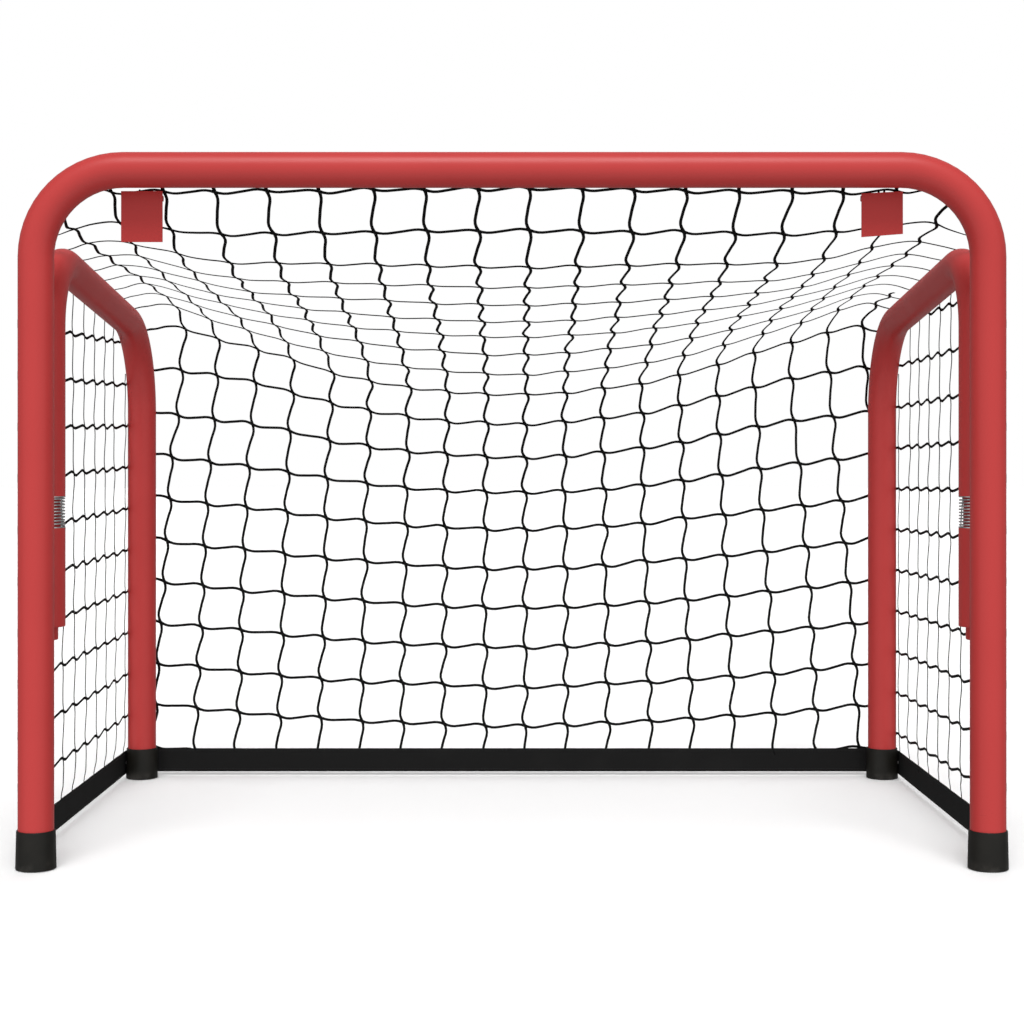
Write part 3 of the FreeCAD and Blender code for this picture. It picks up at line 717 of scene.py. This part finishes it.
def back_net(name, cord):
    """Half of the top and rear net, from the middle to one side frame."""
    side = SIDES[name]
    tubes = Tubes()
    add_row(tubes, 0, *sorted((0.0, side * HEAD_END_X)))
    for v in range(1, LAST_ROW):
        add_row(tubes, v, *sorted((0.0, side * POST_X)))
    add_row(tubes, LAST_ROW, *sorted((side * FOOT_START_X, side * POST_X)))
    for u in COLUMNS[name]:
        add_column(tubes, u, -HEAD_RISE, LAST_ROW)
    if side > 0:
        add_column(tubes, RIGHT_EXTRA, RIGHT_EXTRA_FROM, RIGHT_EXTRA_TO)
    return tubes.make(name + "_back_net", cord)


# ---- side panels ----
SIDE_NET_X = POST_X + WRAP_R
ROPE_OUT = CLIP_R * math.sin(ROPE_TURN)     # the rope, outwards and back of a post's axis


def side_x(depth, z):
    """How far out the side panel stands."""
    out = mix(POST_X + ROPE_OUT, SIDE_NET_X, smooth((depth - ROPE_OUT) / (HINGE - ROPE_OUT)))
    return mix(out, POST_X + STRAP_R, near_strap(z))


def side_row_height(name, m, depth):
    """The height of side row m, counted up from the strap."""
    (front, front_step), (rear, rear_step) = SIDE_FRONT[name], SIDE_REAR[name]
    ends = front + front_step * m, rear + rear_step * m
    return mix(*ends, (depth - ROPE_OUT) / (REAR - ROPE_OUT)) + clip_miss(name, depth)


def clip_miss(name, depth):
    """On the left the rows bend up beside the post, to meet the border rope over its clips."""
    return 0.010 * (1 - smooth((depth - ROPE_OUT) / 0.09)) if name == "left" else 0.0


def side_row_end(name, m):
    """The rear net's row number where side row m reaches the side frame's axis."""
    low, high = 2.0, LAST_ROW + 2.0
    halvings = 40
    for _ in range(halvings):
        v = (low + high) / 2
        axis = tube_crossing(v)[0]
        if axis.y > side_row_height(name, m, axis.x):
            low = v
        else:
            high = v
    return v


def side_column_top(i):
    """Where side column i reaches the tube; the last one ends on the row at the bend."""
    if i == SIDE_COLUMNS - 1:
        return tube_crossing(SIDE_COLUMNS)[0]
    return tube_crossing(i)[0]


def side_column_depth(i, z):
    """How far back side column i is at height z."""
    top = side_column_top(i)
    return mix(SIDE_COLUMN_ZERO + SIDE_COLUMN * i, top.x, smooth(z / top.y))


def wrap(side, v_from, v_to):
    """Samples of a cord that goes over the tube, from its outer side to the main net."""
    steps = 8
    line = []
    for k in range(1, steps + 1):
        turn = math.pi / 2 * k / steps
        axis, out = tube_crossing(mix(v_from, v_to, k / steps))
        way = Vector((side * math.cos(turn), out.x * math.sin(turn), out.y * math.sin(turn)))
        line.append((at(side * POST_X, axis.x, axis.y) + way * WRAP_R, way))
    return line


def side_sample(side, depth, z, right, down, lift):
    """A point of a side panel; right is as seen from inside the goal."""
    point = at(side * (side_x(depth, z) + lift), depth - side * right, z - down)
    return point, Vector((side, 0, 0))


def add_side_row(tubes, name, m):
    """Side row m, from the border rope to the side frame, and over it to a rear row."""
    side = SIDES[name]
    v_end = side_row_end(name, m)
    end = tube_crossing(v_end)[0]
    join = SIDE_JOINS[name] - m
    if abs(join - v_end) > SIDE_JOIN_REACH:
        join = v_end
    stops = [ROPE_OUT]
    for i in range(SIDE_COLUMNS):
        depth = side_column_depth(i, end.y)
        if depth < end.x - SIDE_CLEAR and side_column_top(i).y > end.y:
            stops.append(depth)
    stops.append(end.x)
    line, sizes = [], []
    for cell, (a, b) in enumerate(zip(stops, stops[1:])):
        steps = max(4, round(STEPS * (b - a) / SIDE_COLUMN))
        size = wave_size("siderow", side, cell, m) * min(1.0, (b - a) / SIDE_COLUMN)
        for k in range(steps + (b == stops[-1])):
            f = k / steps
            seen = f if side < 0 else 1 - f
            depth = mix(a, b, f)
            keep = (smooth((end.x - depth) / SIDE_ROW_EASE)
                    * smooth((depth - ROPE_OUT) / SIDE_START_EASE))
            down = row_wave(seen) * size * keep
            lift = LIFT * math.cos(math.pi * (cell + f + m)) * keep
            height = side_row_height(name, m, depth)
            line.append(side_sample(side, depth, height, 0.0, down, lift))
            sizes.append(swell(f) if keep > 0.5 else 1.0)
    bend = wrap(side, v_end, join)
    add_cord(tubes, line + bend, sizes + [1.0] * len(bend))


def add_side_column(tubes, name, i):
    """Side column i, from the strap up to the side frame and over it."""
    side = SIDES[name]
    top = side_column_top(i)
    stops = [TIE_DOWN_Z]
    for m in range(SIDE_ROWS[name]):
        z = side_row_height(name, m, SIDE_COLUMN_ZERO + SIDE_COLUMN * i)
        if z < top.y - SIDE_CLEAR_Z:
            stops.append(z)
    stops.append(top.y)
    line, sizes = [], []
    for cell, (a, b) in enumerate(zip(stops, stops[1:])):
        steps = max(4, round(STEPS * (b - a) / SIDE_FRONT[name][1]))
        size = wave_size("sidecolumn", side, i, cell)
        for k in range(steps + (b == stops[-1])):
            f = k / steps
            z = mix(a, b, f)
            keep = smooth((top.y - z) / WAVE_EASE)
            right = column_wave(1 - f) * size * keep
            lift = -LIFT * math.cos(math.pi * (i + cell - 1 + f)) * keep
            line.append(side_sample(side, side_column_depth(i, z), z, right, 0.0, lift))
            sizes.append(swell(f) if keep > 0.5 else 1.0)
    bend = [] if i == SIDE_COLUMNS - 1 else wrap(side, i, i)
    add_cord(tubes, line + bend, sizes + [1.0] * len(bend))


def side_net(name, cord):
    """One side panel, between the post, the side frame and the strap."""
    tubes = Tubes()
    for m in range(SIDE_ROWS[name]):
        add_side_row(tubes, name, m)
    for i in range(SIDE_COLUMNS):
        add_side_column(tubes, name, i)
    return tubes.make(name + "_side_net", cord)


# ---- border rope through the clips ----
def rope_line():
    """Up one post, behind the crossbar and down the other post, with its normals."""
    post_steps, corner_steps, bar_steps = 110, 24, 160
    bend_z = BAR_Z - CORNER_R
    bend_x = POST_X - CORNER_R
    samples = []

    def put(x, z, out, turn):
        """turn is 0 straight behind the tube and more towards the outer side, out."""
        way = Vector((out[0] * math.sin(turn), math.cos(turn), out[1] * math.sin(turn)))
        samples.append((at(x, 0, z) + way * CLIP_R, way))

    def put_corner(side, i):
        """Point i of a corner, from the post up to the bar."""
        a = math.pi / 2 * i / corner_steps
        out = (side * math.cos(a), math.sin(a))
        put(side * bend_x + CORNER_R * out[0], bend_z + CORNER_R * out[1], out,
            ROPE_TURN * (1 - smooth(i / corner_steps)))

    rise = [mix(ROPE_START_Z, bend_z, i / post_steps) for i in range(post_steps)]
    for z in rise:
        put(-POST_X, z, (-1, 0), ROPE_TURN)
    for i in range(corner_steps + 1):
        put_corner(-1, i)
    for i in range(1, bar_steps):
        put(mix(-bend_x, bend_x, i / bar_steps), BAR_Z, (0, 1), 0.0)
    for i in reversed(range(corner_steps + 1)):
        put_corner(1, i)
    for z in reversed(rise):
        put(POST_X, z, (1, 0), ROPE_TURN)
    return samples


def add_knot(tubes, centre, along, radius):
    """A small round knot: a short tube that swells and closes."""
    side = Vector((0, 0, 1)) if abs(along.z) < 0.9 else Vector((1, 0, 0))
    line, sizes = [], []
    for k in range(7):
        t = math.pi * k / 6
        line.append((centre - along * (radius * 1.2 * math.cos(t)), side))
        sizes.append(radius * max(math.sin(t), 0.25))
    tubes.add(line, sizes, sizes)


def border_rope(cord):
    """The rope in the clips, with a knot at each net cord that is tied to it."""
    tubes = Tubes(10)
    line = rope_line()
    sizes = [ROPE_R] * len(line)
    tubes.add(line, sizes, sizes)
    across, upright = Vector((1, 0, 0)), Vector((0, 0, 1))
    for u in (*COLUMNS["left"], *COLUMNS["right"]):
        x = column_x(u, -HEAD_RISE)
        add_knot(tubes, net_place(x, -HEAD_RISE), across, KNOT_R)
    for name, side in SIDES.items():
        for m in range(SIDE_ROWS[name]):
            height = side_row_height(name, m, ROPE_OUT)
            add_knot(tubes, at(side * (POST_X + ROPE_OUT), ROPE_OUT, height), upright, KNOT_R)
    for end in (line[0][0], line[-1][0]):
        add_knot(tubes, end, upright, END_KNOT_R)
    return tubes.make("net_border_rope", cord)


# ---- straps ----
def lengths_along(path):
    """The length along a path of (x, depth) points at each of them."""
    marks = [0.0]
    for (x0, y0), (x1, y1) in zip(path, path[1:]):
        marks.append(marks[-1] + math.hypot(x1 - x0, y1 - y0))
    return marks


def strap_section():
    """(height, half thickness) points from the lower edge to the upper, both rounded."""
    steps = 10
    edge_round = 0.0012
    section = []
    for k in range(steps + 1):
        z = mix(STRAP_LOW, STRAP_HIGH, 0.5 - 0.5 * math.cos(math.pi * k / steps))
        edge = min(z - STRAP_LOW, STRAP_HIGH - z) / edge_round
        section.append((z, STRAP_T / 2 * math.sqrt(max(0.06, 1 - (1 - min(edge, 1.0)) ** 2))))
    return section


def strap_band(name, path, material):
    """A closed band of webbing along (x, depth) points, and its length."""
    section = strap_section()
    loop = section + [(z, -thick) for z, thick in reversed(section)]
    points, faces, uvs = [], [], []
    marks = lengths_along(path)
    for i, (x, y) in enumerate(path):
        x0, y0 = path[max(i - 1, 0)]
        x1, y1 = path[min(i + 1, len(path) - 1)]
        way = Vector((y1 - y0, x0 - x1)).normalized()
        ripple = 0.00022 * math.sin(marks[i] * 46.0) + 0.00016 * math.sin(marks[i] * 131.0 + 1.0)
        for z, thick in loop:
            push = thick + ripple * (z - STRAP_LOW) / (STRAP_HIGH - STRAP_LOW)
            points.append(at(x + way.x * push, y + way.y * push, z))
    count = len(loop)
    for i in range(len(path) - 1):
        for c in range(count):
            d = (c + 1) % count
            a, b = i * count, (i + 1) * count
            faces.append((a + c, b + c, b + d, a + d))
            uvs.append(((marks[i], loop[c][0]), (marks[i + 1], loop[c][0]),
                        (marks[i + 1], loop[d][0]), (marks[i], loop[d][0])))
    last = (len(path) - 1) * count
    for ring, mark in ((range(count), 0.0), (reversed(range(last, last + count)), marks[-1])):
        ring = tuple(ring)
        faces.append(ring)
        uvs.append(tuple((mark, points[c].z) for c in ring))
    band = mesh_piece(name, points, faces, uvs, material)
    for ring in band.data.polygons[-2:]:
        ring.use_smooth = False
    ends = set(range(count)) | set(range(last, last + count))
    for edge in band.data.edges:
        if set(edge.vertices) <= ends:
            edge.use_edge_sharp = True
    return band, marks[-1]


def strap_stitches(name, path, material):
    """Two rows of lock stitch on both faces of a strap."""
    tubes = Tubes(5)
    reach = STRAP_T / 2 + 0.00012
    from_edge = 0.0035
    step = 0.0042
    thread_r = 0.00028
    sink = 0.00035
    marks = lengths_along(path)
    segment = 0
    for k in range(1, int(marks[-1] / step)):
        mark = k * step
        while marks[segment + 1] < mark:
            segment += 1
        (x0, y0), (x1, y1) = path[segment], path[segment + 1]
        t = (mark - marks[segment]) / (marks[segment + 1] - marks[segment])
        along = Vector((x1 - x0, y1 - y0, 0)).normalized()
        out = Vector((along.y, -along.x, 0))
        for z in (STRAP_LOW + from_edge, STRAP_HIGH - from_edge):
            centre = at(mix(x0, x1, t), mix(y0, y1, t), z)
            for face in (-1, 1):
                line = []
                for share, deep in ((-0.36, sink), (-0.2, 0.0), (0.2, 0.0), (0.36, sink)):
                    place = centre + along * step * share + out * face * (reach - deep)
                    line.append((place, out))
                tubes.add(line, [thread_r] * 4, [thread_r] * 4)
    return tubes.make(name, material)


def side_strap_path(side):
    """From behind the post's cap, out round the hinge, back and round the rear leg."""
    cap_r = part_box("right_front_foot_cap")[1][0] - POST_X
    flat = cap_r + 0.0001 + STRAP_T / 2
    far = POST_X + STRAP_R
    bend = [(POST_X - 0.014, flat), (POST_X - 0.002, flat), (POST_X + 0.007, flat + 0.001),
            (POST_X + 0.017, flat + 0.009), (far, HINGE - 0.008), (far, HINGE + 0.004)]
    path = [(side * x, depth) for _, x, depth in along_line(bend)[::3]]
    for i in range(STRAP_STEPS):
        path.append((side * far, mix(HINGE + 0.006, REAR, i / STRAP_STEPS)))
    round_steps = 12
    for i in range(round_steps + 1):
        turn = math.pi / 2 * i / round_steps
        path.append((side * (POST_X + STRAP_R * math.cos(turn)), REAR + STRAP_R * math.sin(turn)))
    return path


def rear_strap_path(side):
    """From one rear leg to the middle."""
    return [(mix(side * POST_X, 0.0, i / STRAP_STEPS), REAR + STRAP_R)
            for i in range(STRAP_STEPS + 1)]


# ---- hinge spring ----
def hinge_spring(name, material):
    """An open coil spring whose ends close up over part of a turn."""
    side = SIDES[name]
    low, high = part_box(name + "_hinge_spring")
    wire_r = 0.0009
    radius = 0.0179
    turns = 9.25
    closed = 0.40
    bottom = low[2] + wire_r
    rise = high[2] - low[2] - 2 * wire_r
    pitch_closed = 2 * wire_r * 1.02
    open_rise = rise - 2 * closed * pitch_closed
    steps_in_turn = 28
    count = round(steps_in_turn * turns)
    line = []
    for i in range(count + 1):
        turn = turns * i / count
        if turn < closed:
            z = turn * pitch_closed
        elif turn > turns - closed:
            z = rise - (turns - turn) * pitch_closed
        else:
            z = closed * pitch_closed + open_rise * (turn - closed) / (turns - 2 * closed)
        a = 2 * math.pi * turn
        way = Vector((math.cos(a), math.sin(a), 0))
        line.append((at(side * POST_X, HINGE, bottom + z) + way * radius, way))
    tubes = Tubes(10)
    sizes = [wire_r] * len(line)
    tubes.add(line, sizes, sizes)
    return tubes.make(name + "_coil_spring", material)


# ---- put it together ----
make_camera()
make_studio()

MATERIALS = {
    "red_paint": powder_coat("red_powder_coat", (0.555, 0.046, 0.044), (0.530, 0.042, 0.040)),
    "tab_paint": powder_coat("tab_powder_coat", (0.50, 0.034, 0.032), (0.48, 0.031, 0.029)),
    "cap_rubber": rubber(),
    "zinc_steel": metal("zinc_plate", (0.62, 0.63, 0.64), 0.28, (0.42, 0.42, 0.42)),
    "spring_steel": metal("spring_wire", (0.74, 0.74, 0.74), 0.16, (0.42, 0.42, 0.43)),
    "bush_plastic": moulded("natural_nylon", (0.74, 0.72, 0.66), (0.60, 0.57, 0.50)),
    "clip_plastic": moulded("black_nylon", (0.018, 0.018, 0.018), (0.036, 0.035, 0.034)),
    "net_cord": braided_cord(),
    "webbing": woven_webbing(),
}
for subpart in frame["record"]["subparts"]:
    node = frame["nodes"][subpart["node"]]
    for slot in node.material_slots:
        slot.material = MATERIALS[subpart["material_slot"]]
cord = MATERIALS["net_cord"]
thread = stitching_thread()

rope = border_rope(cord)
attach(rope, "front_frame")

for name, side in SIDES.items():
    stack = name + "_spring_stack"

    back = back_net(name, cord)
    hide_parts("top_net_panel", "rear_net_panel")
    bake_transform(back)

    panel = side_net(name, cord)
    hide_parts(name + "_net_panel")
    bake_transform(panel)

    side_nodes = (name + "_base_strap", name + "_strap_end")
    for part, path, replaced in (
            ("side", side_strap_path(side), side_nodes),
            ("rear", rear_strap_path(side), ("rear_base_strap",))):
        strap, length = strap_band(f"{name}_{part}_strap", path, MATERIALS["webbing"])
        stitches = strap_stitches(f"{name}_{part}_strap_stitches", path, thread)
        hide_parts(*replaced)
        for piece in (strap, stitches):
            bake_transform(piece)

    coil = hinge_spring(name, MATERIALS["spring_steel"])
    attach(coil, stack)
    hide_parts(name + "_hinge_spring")
    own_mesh(coil)
